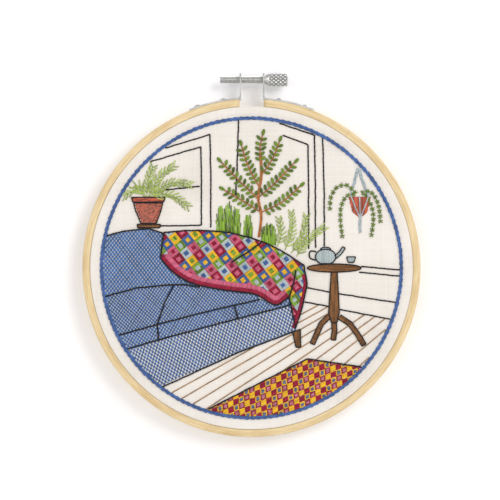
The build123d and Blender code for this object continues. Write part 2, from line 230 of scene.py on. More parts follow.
def without(runs, holes):
    """Runs with the stretches covered by the holes taken out."""
    for low, high in holes:
        kept = []
        for a, b in runs:
            if high <= a or low >= b:
                kept.append((a, b))
                continue
            if low > a:
                kept.append((a, low))
            if high < b:
                kept.append((high, b))
        runs = kept
    return runs


def scan(polygon, angle, spacing, holes=()):
    """Parallel lines across a polygon: for each its number, its foot, its direction and its runs."""
    direction = aim(angle)
    normal = (-direction[1], direction[0])
    heights = [u * normal[0] + v * normal[1] for u, v in polygon]
    for k in range(int(np.floor(min(heights) / spacing)), int(np.ceil(max(heights) / spacing)) + 1):
        foot = ahead((0, 0), normal, k * spacing)
        runs = spans(foot, direction, polygon)
        for hole in holes:
            runs = without(runs, spans(foot, direction, hole))
        if runs:
            yield k, foot, direction, runs


def shrunk(polygon, share):
    """A polygon drawn towards its middle."""
    middle = (sum(p[0] for p in polygon) / len(polygon), sum(p[1] for p in polygon) / len(polygon))
    return [between(middle, point, share) for point in polygon]


# ---- thread


class Threads:
    """Stitches of one colour, gathered into one mesh, with the thread's way behind the cloth."""

    sides = 6
    back_sides = 4
    shortest_carry = 0.5
    longest_carry = 9.0
    shortest_stitch = 0.25

    def __init__(self, name, seed):
        self.name = name
        self.random = random.Random(seed)
        self.points, self.faces, self.uvs, self.tones = [], [], [], []
        self.count = 0
        self.last_end = None

    def tube(self, line, radii, flat=0.78, tone=0.5, sides=None):
        """A closed tube along points (u, v, h), with a radius at each."""
        sides = sides or self.sides
        line = np.array(line, float)
        radii = np.array(radii, float)[:, None]
        heading = np.gradient(line, axis=0)
        heading /= np.maximum(np.linalg.norm(heading, axis=1), 1e-9)[:, None]
        across = np.stack([heading[:, 1], -heading[:, 0], 0 * heading[:, 0]], axis=1)
        across[np.linalg.norm(across, axis=1) < 1e-6] = (1, 0, 0)
        across /= np.linalg.norm(across, axis=1)[:, None]
        upward = np.cross(across, heading)
        rows = len(line)
        angles = np.arange(sides) * 2 * pi / sides
        ring = (line[:, None, :] + across[:, None, :] * (radii * np.cos(angles))[:, :, None]
                + upward[:, None, :] * (radii * flat * np.sin(angles))[:, :, None])
        self.points.append(ring.reshape(-1, 3))
        base = self.count
        steps = np.linalg.norm(np.diff(line, axis=0), axis=1)
        travelled = np.concatenate([[0], np.cumsum(steps)]) + self.random.random()
        for i in range(rows - 1):
            start, end = travelled[i], travelled[i + 1]
            low, high = base + i * sides, base + (i + 1) * sides
            for j in range(sides):
                k = (j + 1) % sides
                self.faces.append((low + j, high + j, high + k, low + k))
                a, b = j / sides, (j + 1) / sides
                self.uvs += [(start, a), (end, a), (end, b), (start, b)]
        last = base + (rows - 1) * sides
        self.faces.append(tuple(base + j for j in range(sides)))
        self.faces.append(tuple(last + j for j in reversed(range(sides))))
        self.uvs += [(travelled[0], 0.5)] * sides + [(travelled[-1], 0.5)] * sides
        self.tones += [tone] * (rows * sides)
        self.count += rows * sides

    def carry(self, start):
        """The thread's way behind the cloth, from the last stitch's end to the next one's start."""
        end = self.last_end
        if end is None:
            return
        if not self.shortest_carry < hypot(start[0] - end[0], start[1] - end[1]) < self.longest_carry:
            return
        depth = -(cloth_thickness + drum_drop)
        slack = self.random.uniform(0.2, 0.42)
        way = ((0, 0.1, 0.16), (0.2, -0.7 * slack, 0.25), (0.5, -slack, 0.26), (0.8, -0.7 * slack, 0.25),
               (1, 0.1, 0.16))
        line = [(*between(end, start, share), depth + rise) for share, rise, _ in way]
        self.tube(line, [radius for _, _, radius in way], 0.7, self.random.random(), self.back_sides)

    def stitch(self, start, end, width=thread_width, lift=0.0, bow=0.0, tone=None, dip=0.6, blunt=1.0):
        """One straight stitch, whose ends go down through the cloth. A low blunt makes them steep."""
        length = hypot(end[0] - start[0], end[1] - start[1])
        if length < self.shortest_stitch:
            return
        self.carry(start)
        self.last_end = end
        tone = self.random.random() if tone is None else tone
        radius = width / 2
        direction = unit(start, end)
        ramp = min(0.8 * width, 0.32 * length) * blunt
        level = length - 2 * ramp
        inner = max(1, int(level / 2.4))
        stops = [0, 0.35 * ramp, ramp]
        stops += [ramp + level * (k + 1) / (inner + 1) for k in range(inner)]
        stops += [length - ramp, length - 0.35 * ramp, length]
        line, radii = [], []
        for stop in stops:
            edge = min(stop, length - stop) / ramp
            if edge <= 0:
                rise, share_of_radius = -dip, 0.62
            elif edge < 0.9:
                rise, share_of_radius = 0.35, 0.9
            else:
                rise, share_of_radius = 0.8, 1.0
            share = stop / length
            side = bow * 4 * share * (1 - share)
            crown = 0.25 * min(length / 4, 1) * 4 * share * (1 - share) * radius
            u, v = ahead(start, direction, stop)
            line.append((u - direction[1] * side, v + direction[0] * side,
                         lift - drum_drop + rise * radius + crown))
            radii.append(radius * share_of_radius)
        self.tube(line, radii, tone=tone)

    def back_stitch(self, line, pitch=2.1, width=outline_width, lift=0.0, closed=False, wander=0.1):
        """Stitches end to end along a line, each worked backwards from the one before."""
        points = resample(line, pitch, closed)
        moved = points[:1]
        for u, v in points[1:]:
            moved.append((u + self.random.uniform(-wander, wander), v + self.random.uniform(-wander, wander)))
        if closed:
            moved[-1] = points[0]
        for a, b in zip(moved, moved[1:]):
            self.stitch(b, a, width, lift, dip=-0.2, blunt=0.55)

    def row(self, k, foot, direction, start, end, width, lift):
        """A stitch along a scan line. Odd lines run the other way."""
        ends = [ahead(foot, direction, start), ahead(foot, direction, end)]
        if k % 2:
            ends.reverse()
        self.stitch(*ends, width, lift)

    def fill(self, polygon, angle, longest, spacing=0.42, width=0.54):
        """Satin stitches side by side over an area; long rows are split and staggered."""
        loose, stagger, margin = 0.12, 0.12, 0.3 * longest
        for k, foot, direction, runs in scan(polygon, angle, spacing):
            for low, high in runs:
                cuts = [low]
                if high - low > longest:
                    cut = (np.floor(low / longest) + 0.25 + 0.5 * (k % 2)) * longest
                    while cut < high - margin:
                        if cut > low + margin:
                            cuts.append(cut + self.random.uniform(-stagger, stagger) * longest)
                        cut += longest
                cuts.append(high)
                for a, b in zip(cuts, cuts[1:]):
                    a -= self.random.uniform(0, loose)
                    b += self.random.uniform(0, loose)
                    self.row(k, foot, direction, a, b, width, 0.0)

    def fill_within(self, shape, area, angle, spacing=0.46, width=0.58, lift=0.0):
        """Satin over the part of a convex shape that lies inside an area, just over its edges."""
        overlap, shortest = 0.1, 0.4
        for k, foot, direction, runs in scan(shape, angle, spacing):
            inside_area = spans(foot, direction, area)
            for low, high in runs:
                for a, b in inside_area:
                    start, end = max(low, a) - overlap, min(high, b) + overlap
                    if end - start >= shortest:
                        self.row(k, foot, direction, start, end, width, lift)

    def piece(self, colour, *nodes, slot=None):
        """The finished mesh in a thread colour, riding with the inner hoop."""
        u, v, h = np.concatenate(self.points).T
        world = np.stack([u * MM, cloth_y - h * MM, ring_z + v * MM], axis=1)
        made = add_mesh(self.name, world.tolist(), self.faces, thread[colour])
        layer = made.data.uv_layers.new(name="thread")
        layer.data.foreach_set("uv", np.array(self.uvs, np.float32).ravel())
        attribute = made.data.attributes.new("tone", "FLOAT", "POINT")
        attribute.data.foreach_set("value", np.array(self.tones, np.float32))
        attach(made, "inner_hoop")
        slot or f"{colour}_thread"
        if nodes:
            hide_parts(*nodes)


# ---- materials


def linear(red, green, blue):
    """A colour given in everyday 0 to 255 values."""
    def channel(value):
        value /= 255
        return value / 12.92 if value <= 0.04045 else ((value + 0.055) / 1.055) ** 2.4
    return (channel(red), channel(green), channel(blue), 1.0)


class Shader:
    """A material and the nodes that are added to it."""

    def __init__(self, name, roughness=0.5, metallic=0.0, specular=0.5):
        self.material = bpy.data.materials.new(name)
        self.material.use_nodes = True
        self.tree = self.material.node_tree
        self.surface = self.tree.nodes["Principled BSDF"]
        self.set("Roughness", roughness)
        self.set("Metallic", metallic)
        self.set("Specular IOR Level", specular)

    def set(self, socket, value):
        self.wire(self.surface.inputs[socket], value)

    def wire(self, socket, value):
        if isinstance(value, bpy.types.NodeSocket):
            self.tree.links.new(value, socket)
        elif value is not None:
            socket.default_value = value

    def add(self, kind, inputs=(), **settings):
        made = self.tree.nodes.new("ShaderNode" + kind)
        for key, value in settings.items():
            setattr(made, key, value)
        for key, value in dict(inputs).items():
            self.wire(made.inputs[key], value)
        return made

    def math(self, operation, first, second=None, third=None):
        made = self.add("Math", operation=operation)
        for socket, value in zip(made.inputs, (first, second, third)):
            self.wire(socket, value)
        return made.outputs[0]

    def mix(self, share, first, second, blend_type="MIX"):
        made = self.add("Mix", data_type="RGBA", blend_type=blend_type)
        for socket, value in zip((made.inputs[0], made.inputs[6], made.inputs[7]), (share, first, second)):
            self.wire(socket, value)
        return made.outputs[2]

    def ramp(self, value, stops):
        made = self.add("ValToRGB", {"Fac": value})
        elements = made.color_ramp.elements
        while len(elements) < len(stops):
            elements.new(0.5)
        for element, (position, colour) in zip(elements, stops):
            element.position = position
            element.color = colour
        return made.outputs["Color"]

    def span(self, value, low, high, new_low=0.0, new_high=1.0):
        inputs = {"Value": value, "From Min": low, "From Max": high, "To Min": new_low, "To Max": new_high}
        return self.add("MapRange", inputs).outputs["Result"]

    def noise(self, scale, detail=2.0, vector=None, roughness=0.5):
        inputs = {"Scale": scale, "Detail": detail, "Roughness": roughness, "Vector": vector}
        return self.add("TexNoise", inputs).outputs["Fac"]

    def object_point(self, scale=(1, 1, 1)):
        point = self.add("TexCoord").outputs["Object"]
        return self.add("Mapping", {"Vector": point, "Scale": scale}).outputs["Vector"]

    def bump(self, height, distance, strength=1.0):
        inputs = {"Height": height, "Distance": distance, "Strength": strength}
        self.set("Normal", self.add("Bump", inputs).outputs["Normal"])


def thread_material(name, dark, middle, light):
    """Stranded cotton: turned strands with painted shade in the grooves between them and a faint painted
    highlight on their crowns, a soft gloss, and a tone of its own on each stitch.
    """
    twist, strand_count = 0.95, 2.0
    shader = Shader(name, roughness=0.62, specular=0.25)
    uv = shader.add("SeparateXYZ", {"Vector": shader.add("TexCoord").outputs["UV"]})
    strands = shader.math("MULTIPLY", uv.outputs["Y"], strand_count)
    turn = shader.math("MULTIPLY_ADD", uv.outputs["X"], 1 / twist, strands)
    groove = shader.span(shader.math("SINE", shader.math("MULTIPLY", turn, 2 * pi)), -1, 1)
    tone = shader.add("Attribute", attribute_name="tone").outputs["Fac"]
    fibres = shader.noise(5200, 3, shader.object_point())
    tone = shader.math("MULTIPLY_ADD", shader.math("SUBTRACT", fibres, 0.5), 0.5, tone)
    colour = shader.ramp(tone, [(0.0, dark), (0.5, middle), (1.0, light)])
    # Painted shade in the grooves between the strands, and a faint painted highlight on their crowns.
    shade = shader.span(groove, 0, 1, 0.72, 1.06)
    grey = shader.add("CombineColor", {"Red": shade, "Green": shade, "Blue": shade}).outputs["Color"]
    shader.set("Base Color", shader.mix(1.0, colour, grey, "MULTIPLY"))
    shader.bump(shader.math("MULTIPLY_ADD", fibres, 0.35, groove), 0.00006, 0.6)
    shader.set("Sheen Weight", 0.2)
    shader.set("Sheen Roughness", 0.4)
    return shader.material


def cloth_material():
    """Off-white plain weave: warp and weft ridges, slubs and a faint unevenness."""
    pitch = 0.00042
    shader = Shader("plain_weave_cotton", roughness=0.85, specular=0.2)
    parts = shader.add("SeparateXYZ", {"Vector": shader.add("TexCoord").outputs["Object"]})
    slub = shader.noise(900, 2, shader.object_point((1, 1, 0.06)))
    slub_across = shader.noise(900, 2, shader.object_point((0.06, 1, 1)))
    warp = shader.math("SINE", shader.math("MULTIPLY", parts.outputs["X"], 2 * pi / pitch))
    weft = shader.math("SINE", shader.math("MULTIPLY", parts.outputs["Z"], 2 * pi / pitch))
    lines = shader.math("ADD", slub, slub_across)
    broad = shader.noise(45, 3, shader.object_point())
    tone = shader.math("MULTIPLY_ADD", broad, 0.5, shader.math("MULTIPLY", lines, 0.25))
    shader.set("Base Color", shader.ramp(tone, [
        (0.25, linear(222, 214, 204)), (0.5, linear(236, 229, 221)), (0.75, linear(243, 238, 231))]))
    height = shader.math("MULTIPLY_ADD", shader.math("MULTIPLY", warp, weft), 0.22, lines)
    shader.bump(height, 0.00008, 0.55)
    shader.set("Sheen Weight", 0.15)
    return shader.material


def bamboo_material(name, dark, middle, light, gloss):
    """Bamboo strip: long fibres that follow the ring, and one node mark."""
    node_angle, node_width = 0.62, 0.006
    shader = Shader(name, roughness=gloss, specular=0.4)
    point = shader.add("TexCoord").outputs["Object"]
    moved = shader.add("VectorMath", {0: point, 1: (0, 0, -ring_z)}, operation="ADD").outputs["Vector"]
    x, y, z = shader.add("SeparateXYZ", {"Vector": moved}).outputs
    turn = shader.math("ARCTAN2", x, z)
    squares = [shader.math("MULTIPLY", part, part) for part in (x, z)]
    reach = shader.math("SQRT", shader.math("ADD", *squares))
    along_ring = shader.math("MULTIPLY", turn, 0.006)
    fibre_point = shader.add("CombineXYZ", {"X": along_ring, "Y": y, "Z": reach}).outputs["Vector"]
    fibres = shader.noise(2600, 4, fibre_point, 0.6)
    streaks = shader.noise(700, 3, fibre_point)
    broad = shader.noise(60, 2, shader.object_point())
    tone = shader.math("MULTIPLY_ADD", streaks, 0.7, shader.math("MULTIPLY", broad, 0.3))
    tone = shader.math("MULTIPLY_ADD", shader.math("SUBTRACT", fibres, 0.5), 0.45, tone)
    colour = shader.ramp(tone, [(0.28, dark), (0.5, middle), (0.72, light)])
    joint = shader.math("COMPARE", turn, node_angle, node_width)
    shader.set("Base Color", shader.mix(shader.math("MULTIPLY", joint, 0.35), colour, dark))
    shader.set("Roughness", shader.span(fibres, 0.3, 0.7, gloss - 0.06, gloss + 0.12))
    shader.bump(fibres, 0.00005, 0.35)
    shader.set("Coat Weight", 0.12)
    shader.set("Coat Roughness", 0.3)
    return shader.material


def metal_material(name, colour, roughness, brushed):
    """Plated steel with fine scratches, and dull patches that hands have left."""
    shader = Shader(name, roughness=roughness, metallic=1.0)
    scratches = shader.noise(3000, 3, shader.object_point(brushed))
    smudges = shader.noise(160, 3, shader.object_point())
    tone = shader.math("MULTIPLY_ADD", scratches, 0.4, shader.math("MULTIPLY", smudges, 0.6))
    darker = tuple(0.72 * c for c in colour[:3]) + (1.0,)
    shader.set("Base Color", shader.ramp(tone, [(0.3, darker), (0.62, colour)]))
    shader.set("Roughness", shader.span(tone, 0.25, 0.75, roughness - 0.08, roughness + 0.14))
    shader.bump(scratches, 0.00002, 0.3)
    return shader.material


def worn_screw_material_with_painted_groove_shade():
    """Nickel plate, with painted shade in the grooves of the thread and the knurl, and dull patches that
    hands have left.
    """
    painted_groove_shade, crest_colour, dull = (0.07, 0.07, 0.068, 1), (0.92, 0.92, 0.9, 1), (0.5, 0.49, 0.47, 1)
    shader = Shader("plated_screw_metal", roughness=0.3, metallic=1.0)
    crest = shader.add("Attribute", attribute_name="crest").outputs["Fac"]
    smudges = shader.noise(700, 3, shader.object_point())
    # Painted shade: the low parts of the thread and the knurl are coloured near black by the crest attribute.
    colour = shader.mix(shader.span(crest, 0.0, 0.85), painted_groove_shade, crest_colour)
    shader.set("Base Color", shader.mix(shader.span(smudges, 0.4, 0.75, 0, 0.2), colour, dull))
    shader.set("Roughness", shader.span(smudges, 0.3, 0.7, 0.26, 0.38))
    shader.bump(smudges, 0.00001, 0.1)
    return shader.material


def shades(red, green, blue, spread=0.16):
    """Dark, middle and light tones of a colour."""
    factors = (1 - spread, 1.0, 1 + 0.7 * spread)
    return [linear(*(min(255, value * factor) for value in (red, green, blue))) for factor in factors]


thread_colours = {
    "white": shades(238, 234, 226, 0.05),
    "blue": shades(74, 104, 162),
    "navy": shades(46, 72, 122),
    "denim": shades(102, 140, 196, 0.16),
    "sky": shades(188, 199, 200, 0.1),
    "pink": shades(212, 104, 132),
    "red": shades(156, 28, 60, 0.2),
    "yellow": shades(246, 190, 46, 0.12),
    "green": shades(128, 162, 56, 0.34),
    "leaf": shades(106, 130, 44, 0.28),
    "lime": shades(176, 196, 98, 0.16),
    "bark": shades(182, 114, 62, 0.18),
    "brown": shades(138, 94, 56, 0.24),
    "tan": shades(172, 134, 94, 0.14),
    "terracotta": shades(198, 102, 78, 0.24),
    "grey": shades(190, 202, 206, 0.1),
    "black": shades(26, 24, 28, 0.2),
    "lilac": shades(196, 122, 140, 0.2),
    "teal": shades(96, 110, 140, 0.2),
}
thread = {name: thread_material(f"{name}_cotton", *tones) for name, tones in thread_colours.items()}
cotton = cloth_material()
outer_bamboo = bamboo_material("outer_bamboo", linear(204, 172, 120), linear(228, 202, 154),
                               linear(240, 220, 178), 0.42)
inner_bamboo = bamboo_material("inner_bamboo", linear(198, 168, 118), linear(222, 196, 150),
                               linear(234, 212, 170), 0.5)
sheet_metal = metal_material("plated_sheet_metal", (0.86, 0.86, 0.85, 1), 0.3, (1, 0.05, 1))
screw_metal = worn_screw_material_with_painted_groove_shade()
rivet_metal = metal_material("rivet_metal", (0.82, 0.82, 0.8, 1), 0.32, (1, 1, 1))


# ---- wooden rings


def ring_section():
    """The outer strip's section as (radius, y): rounded outer edges and eased inner ones."""
    rounded, eased = 0.5, 0.22
    back, front = -outer_high.y / MM, -outer_low.y / MM
    corners = ((outer_radius - rounded, front - rounded, 0, rounded),
               (inner_radius + eased, front - eased, 90, eased),
               (inner_radius + eased, back + eased, 180, eased),
               (outer_radius - rounded, back + rounded, 270, rounded))
    points = []
    for radius, depth, start, size in corners:
        points += arc((radius, depth), size, size, start, start + 90, 4)
    return [(radius, -depth) for radius, depth in points]


def half_ring(name, side, end_x):
    """Half of the outer strip, from its sawn end beside the clamp round to the bottom."""
    section = ring_section()
    steps = 96
    points = []
    for k in range(steps + 1):
        for radius, y in section:
            start = abs(asin(end_x / radius))
            points.append(on_ring(radius, side * (start + (pi - start) * k / steps), y))
    faces = loop_faces(steps + 1, len(section))
    if side < 0:
        faces = [face[::-1] for face in faces]
    return add_mesh(name, points, faces, outer_bamboo)


def make_outer_ring():
    """Two halves: the right one rides the outer hoop, and the left one stays in place, attached to nothing.
    """
    right = half_ring("outer_ring_right", 1, 5.8)
    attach(right, "outer_hoop")
    left = half_ring("outer_ring_left", -1, -5.6)
    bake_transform(left)
    for half in (right, left):
        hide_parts("outer_ring")


def keep_cad_node(name, material, bevel):
    """A CAD node that keeps its shape, with its own material and slightly broken edges."""
    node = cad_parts[name]
    node.data.materials.clear()
    node.data.materials.append(material)
    eased = node.modifiers.new("broken_edges", "BEVEL")
    eased.width = bevel * MM
    eased.segments = 2
    eased.limit_method = "ANGLE"
    eased.angle_limit = radians(40)


# ---- clamp screw


def triangle_wave(value):
    """0 at whole numbers and 1 half way between them."""
    return 1 - abs(2 * (value - np.floor(value)) - 1)


def make_clamp_screw():
    """A threaded shank and a diamond-knurled knob, turned from one bar."""
    pitch, depth, shank_radius = 0.6, 0.3, 1.7
    knurls, knurl_depth, knob_radius = 9, 0.42, 3.0
    neck, knob_start, knob_edge, sides = 6.3, 8.3, 0.45, 96
    tip, end = screw_low.x / MM, screw_high.x / MM
    axis_z = (screw_low.z + screw_high.z) / 2
    axis_y = (screw_low.y + screw_high.y) / 2
    step = 2 * pi * knob_radius / knurls
    collar = ((neck, shank_radius - 0.1), (neck, 2.05), (6.6, 2.2), (7.9, 2.88), (8.1, 2.8))
    dished_end = ((end - 0.3, 2.9), (end, 2.6), (end, 1.2), (end - 0.15, 1.0))
    stations = [(x, "thread", min(1.0, (x - tip) / 0.5 + 0.35)) for x in np.arange(tip, neck, pitch / 8)]
    stations += [(x, "plain", radius) for x, radius in collar]
    stations += [(x, "knurl", knob_radius) for x in np.linspace(knob_start, end - knob_edge, 52)]
    stations += [(x, "plain", radius) for x, radius in dished_end]
    # crest is how high each point stands on a ridge; the screw's material paints shade into the low ones by
    # it.
    points, crests = [], []
    for x, kind, size in stations:
        for j in range(sides):
            turn = j / sides
            radius, crest = size, 0.7
            if kind == "thread":
                ridge = triangle_wave(x / pitch - turn)
                radius = shank_radius - depth * (1 - ridge) - 0.4 * (1 - size)
                crest = 0.3 + 0.6 * ridge
            if kind == "knurl":
                one = triangle_wave(turn * knurls + x / step)
                other = triangle_wave(turn * knurls - x / step)
                crest = min(one, other, 0.6) / 0.6
                radius = knob_radius - knurl_depth * (1 - crest)
            angle = 2 * pi * j / sides
            points.append((x * MM, axis_y + radius * sin(angle) * MM, axis_z + radius * cos(angle) * MM))
            crests.append(crest)
    faces = [face[::-1] for face in loop_faces(len(stations), sides, end_cap=True)]
    screw = add_mesh("knurled_clamp_screw", points, faces, screw_metal, False)
    screw.data.attributes.new("crest", "FLOAT", "POINT").data.foreach_set("value", crests)
    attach(screw, "screw")
    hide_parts("clamp_screw")


# ---- cloth


def make_cloth():
    """The cloth: a drum face, down the outside of the inner ring, and pleated behind it."""
    around, corner = 384, 0.6
    pleat_width, pleat_height, waviness, lean = 0.024, 1.7, 0.18, 0.012
    fray_start = 58.5
    chance = random.Random(5)
    pleats = []
    angle = 0.0
    while angle < 2 * pi - 0.06:
        pleats.append((angle, chance.uniform(0.5, 1.0)))
        angle += chance.uniform(0.075, 0.14)
    centres, sizes = np.array(pleats).T
    turn = np.arange(around) * 2 * pi / around
    gap = np.abs((turn[:, None] - centres + pi) % (2 * pi) - pi)
    fold = (sizes * np.exp(-(gap / pleat_width) ** 2)).max(axis=1)
    ragged = [chance.uniform(-0.5, 0.5) for _ in range(around)]
    front, back = -cloth_y / MM, -margin_y
    # Each row of the profile is a radius, a depth, how far it is folded and how far it is frayed.
    profile = [(0.02, front - drum_drop, 0, 0)]
    for radius in np.concatenate([np.linspace(2, 70, 35), np.linspace(70.6, 73.2, 8)]):
        profile.append((radius, front - drum_drop * (1 - smooth(71.2, 72.6, radius)), 0, 0))
    side = arc((cloth_radius - corner, front - corner), corner, corner, 90, 0, 4)
    side += [(cloth_radius, depth) for depth in np.linspace(front - 1.6, back + 1.2, 8)]
    side += arc((cloth_radius - corner, back + corner), corner, corner, 0, -90, 3)
    profile += [(radius, depth, 0, 0) for radius, depth in side]
    for radius in np.linspace(73.4, margin_radius, 16):
        frayed = smooth(fray_start, margin_radius, radius) if radius < fray_start else 0
        profile.append((radius, back, 1 - smooth(66.0, 74.0, radius), frayed))
    points = []
    for radius, depth, folded, frayed in profile:
        for j in range(around):
            pleat = folded * fold[j] * pleat_height * (1 - 0.35 * frayed)
            height = depth + pleat + folded * waviness * (1 + sin(23 * turn[j]))
            angle = turn[j] + lean * folded * sin(9 * turn[j])
            points.append(on_ring(radius + ragged[j] * frayed, angle, -height))
    cloth = add_mesh("stretched_cloth", points, loop_faces(len(profile), around), cotton)
    thick = cloth.modifiers.new("thickness", "SOLIDIFY")
    thick.thickness = cloth_thickness * MM
    thick.offset = -1
    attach(cloth, "inner_hoop")
    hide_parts("ground_fabric", "fabric_margin")


# ---- the picture's outlines

throw_top = [(-41, 16.6), (-26, 17.6), (-10, 16.4), (4, 12.6), (14, 8), (24.5, 1.2)]
throw_right = [(26, -8), (23.6, -19), (20.6, -28)]
throw_low = [(17.6, -13.4), (11, -17.4), (2, -12.4), (-12, -10.4), (-27, -7.4), (-36, -2.4), (-42.4, 4.4)]
throw_shape = curved(throw_top, 3) + throw_right + curved(throw_low, 3)
throw_band = 2.1
throw_hem = curved(throw_low, 5)
throw_core = (curved(throw_top, 3) + throw_right + throw_low[:1]
              + shifted(throw_hem, 2 * throw_band - 0.6)[:-3] + [(-38, 5.6), (-42.5, 5.6)])
throw_folds = [[(5, 12.2), (-1.4, 7.6), (-9.4, 2.6)], [(20.8, -1), (19.6, -7.4), (17.6, -13.4)]]
seat_back_line = [(-68.4, -13.3), (-54, -9.4), (-40, -8), (-31, -7.8)]
seat_front_line = [(-62, -31.3), (-44, -26.4), (-22, -20.6), (0, -15.6), (4, -14.6)]
front_top_line = [(-58, -37.8), (-40, -32.6), (-14, -25.6), (10, -19.4), (18.6, -17)]
cushion_splits = [[(-36, -7.6), (-40.5, -16), (-44, -26.4), (-43.4, -33.4)], [(-8, -17.4), (-6.4, -23.4)]]
sofa_back_edge = [(-60, 17.2), (-48, 18.4), (-41, 16.2), (0, 12), (22, 2)]
sofa_base_line = [(20.9, -29.2), (-6, -39.4), (-41.6, -55.5)]
rug_shape = rim(253, 318) + [(26, -42.4)]
rug_edge = [rug_shape[0], rug_shape[-1], rug_shape[-2]]
floor_shape = rim(233.5, 339.4) + [(24.3, -16.4), (23.9, -19), (20.9, -28), (20.9, -29.6), (-6, -39.8)]
wall_lines = [
    [(26, -9.2), (36.8, -11.3)], [(40.6, -12), (67.6, -16.1)],
    [(24.8, -15.9), (36.2, -18)], [(41, -19.3), (65, -23.9)],
    [(51.2, 0.7), (69.2, -0.9)], [(50.2, -2), (69, -3.8)],
    [(-6, 69), (-6.8, 45), (-7.4, 34)],
]
left_window = [
    [(-40.2, 56), (-19.4, 62.4), (-19, 42), (-19, 19)],
    [(-47.4, 49.6), (-23.6, 56.6), (-23.4, 40), (-23.4, 20), (-42.6, 19.6)],
    [(-40.6, 36.4), (-24.2, 38.2)],
]
right_window = [
    [(13, 67.6), (29.4, 62), (29.8, 40), (29.9, 9.4)],
    [(33.2, 60.6), (34, 36), (34, 10.2)],
    [(14.6, 62), (26.4, 57.6), (26.6, 40), (26.8, 9)],
]
pot_shape = [(-55, 30.4), (-41.4, 30.4), (-42.2, 27), (-44.4, 20.8), (-51.6, 20.8), (-54.2, 27)]
pot_rim = [(-56, 33), (-40.4, 33), (-41, 30.8), (-55.4, 30.8)]
stool_shape = [(-53.4, 20.4), (-42.4, 20.4), (-42.8, 18.8), (-53, 18.8)]
leg_shape = [(19.2, -30), (22.8, -28.6), (23, -37), (20.8, -37)]
table_top = arc((38.6, 0), 12.6, 1.9, 0, 360, 24)[:-1]
table_stem = [(37.2, -2.1), (40, -2.1), (40.6, -12), (41, -21), (39.8, -25.6), (37.4, -25.6), (36, -21),
              (36.6, -12)]
foot_width = 2.2
table_feet = [
    [(36.4, -22.4), (32.6, -26), (30.4, -31), (28.4, -35.4)],
    [(41, -22.8), (46, -26), (49.6, -31), (52.6, -36)],
    [(38.6, -25.8), (38.8, -29.6), (38.2, -33.6)],
]
teapot_shape = arc((34.6, 5.2), 4.8, 3.6, -62, 242, 18)
teapot_spout = [(39.2, 5), (41.6, 7.2), (43.2, 9.6)]
teapot_handle = [(30.2, 7.6), (27.4, 7.8), (27.2, 4.8), (30, 3.6)]
cup_shape = [(44.4, 5.2), (48.6, 5.2), (47.8, 2.6), (45.2, 2.6)]
basket_shape = [(45.4, 33.2), (55.6, 33.2), (54, 26), (50.8, 23.4), (47.2, 26)]
hanger_cords = [
    [(46.4, 34), (48.6, 42), (49.6, 46.6)],
    [(54.6, 34), (51.4, 42), (50.6, 46)],
    [(50.8, 23), (50.6, 19.4), (50.9, 16.4)],
]
hanger_nets = [[(46.4, 33.6), (48.6, 28), (50.8, 23.4)], [(54.6, 33.6), (52.6, 28), (50.8, 23.4)],
               [(50.4, 33.6), (50.6, 28), (50.8, 23.4)]]
vines = [
    [(48.6, 35), (44.6, 38.6), (40, 37.8), (37.2, 33.4), (36.6, 28)],
    [(51.6, 35.2), (55, 35.8), (57.8, 33), (59.6, 28), (60.2, 22)],
    [(47.8, 34.4), (44, 33.2), (41.8, 28), (41.6, 21.4), (42.4, 15)],
    [(53, 34.4), (56, 29.2), (57, 23), (56, 15.6)],
]
trunk = [(3.4, 14.4), (4.6, 24), (3.2, 33), (4.6, 43), (4.2, 54)]
branches = [
    [(4.4, 26), (-3.6, 31), (-12.6, 36.4)], [(3.4, 32), (-6, 41), (-14, 49.4)],
    [(3.6, 38), (-1.6, 47.6), (-4.6, 57)], [(4.4, 43), (9.8, 51), (13, 59)],
    [(3.4, 33), (12, 40.6), (20, 49)], [(4.4, 26), (14, 30.6), (22.6, 38)],
    [(4.3, 48), (4, 56), (5.2, 62)],
]
fronds = [
    [(-50, 33.4), (-54, 36.4), (-59, 34)], [(-49.4, 33.4), (-52, 37.6), (-53.8, 38.4)],
    [(-48.8, 33.4), (-48.4, 40), (-46, 47)], [(-48, 33.4), (-42.6, 43), (-36.4, 47.4)],
    [(-47.4, 33.4), (-38, 39.6), (-29, 39)], [(-47, 33.2), (-38.4, 34.4), (-30, 29)],
]
sill_fronds = [[(12, 10), (14, 16), (12.8, 22.6)], [(15.6, 8.4), (19, 17), (18.8, 25.6)],
               [(18.6, 7), (24, 15), (25.6, 24)], [(21, 5.4), (26.4, 13), (33.6, 19)]]
grass_tufts = [((-14.4, 17.8), 12), ((-10.8, 17.2), 15), ((-7.2, 16.2), 13), ((-1.6, 14.8), 11),
               ((6.6, 12.2), 9), ((9.4, 11), 11)]


# ---- stitching


def black_lines(name, seed, nodes, *works):
    """Black outlines: each work is a list of lines and the settings that they are back stitched with."""
    outline = Threads(name, seed)
    for lines, settings in works:
        for line in lines:
            outline.back_stitch(line, **settings)
    outline.piece("black", *nodes)


def satin(name, seed, *works):
    """Satin areas: each work is a shape, its angle and longest stitch, and maybe a spacing and a width."""
    threads = Threads(name, seed)
    for work in works:
        threads.fill(*work)
    return threads


def make_border():
    """A rope of overlapping slanted stitches round the picture."""
    rope = Threads("border_rope", 11)
    advance, reach, slant, wander = 2.8, 4.9, 0.36, 0.08
    count = round(2 * pi * border_radius / advance)
    for k in range(count):
        start_angle = 2 * pi * k / count
        end_angle = start_angle + reach / border_radius
        for shift in (-0.26, 0.26):
            start_radius = border_radius + slant + shift + rope.random.uniform(-wander, wander)
            end_radius = border_radius - slant + shift + rope.random.uniform(-wander, wander)
            start = (start_radius * sin(start_angle), start_radius * cos(start_angle))
            end = (end_radius * sin(end_angle), end_radius * cos(end_angle))
            rope.stitch(start, end, 0.78, lift=0.08, dip=0.4)
    rope.piece("blue", "border_stitching")


def inside(point, polygon):
    """Whether a point lies inside a polygon."""
    return any(low < 0 < high for low, high in spans(point, (1.0, 0.0031), polygon))


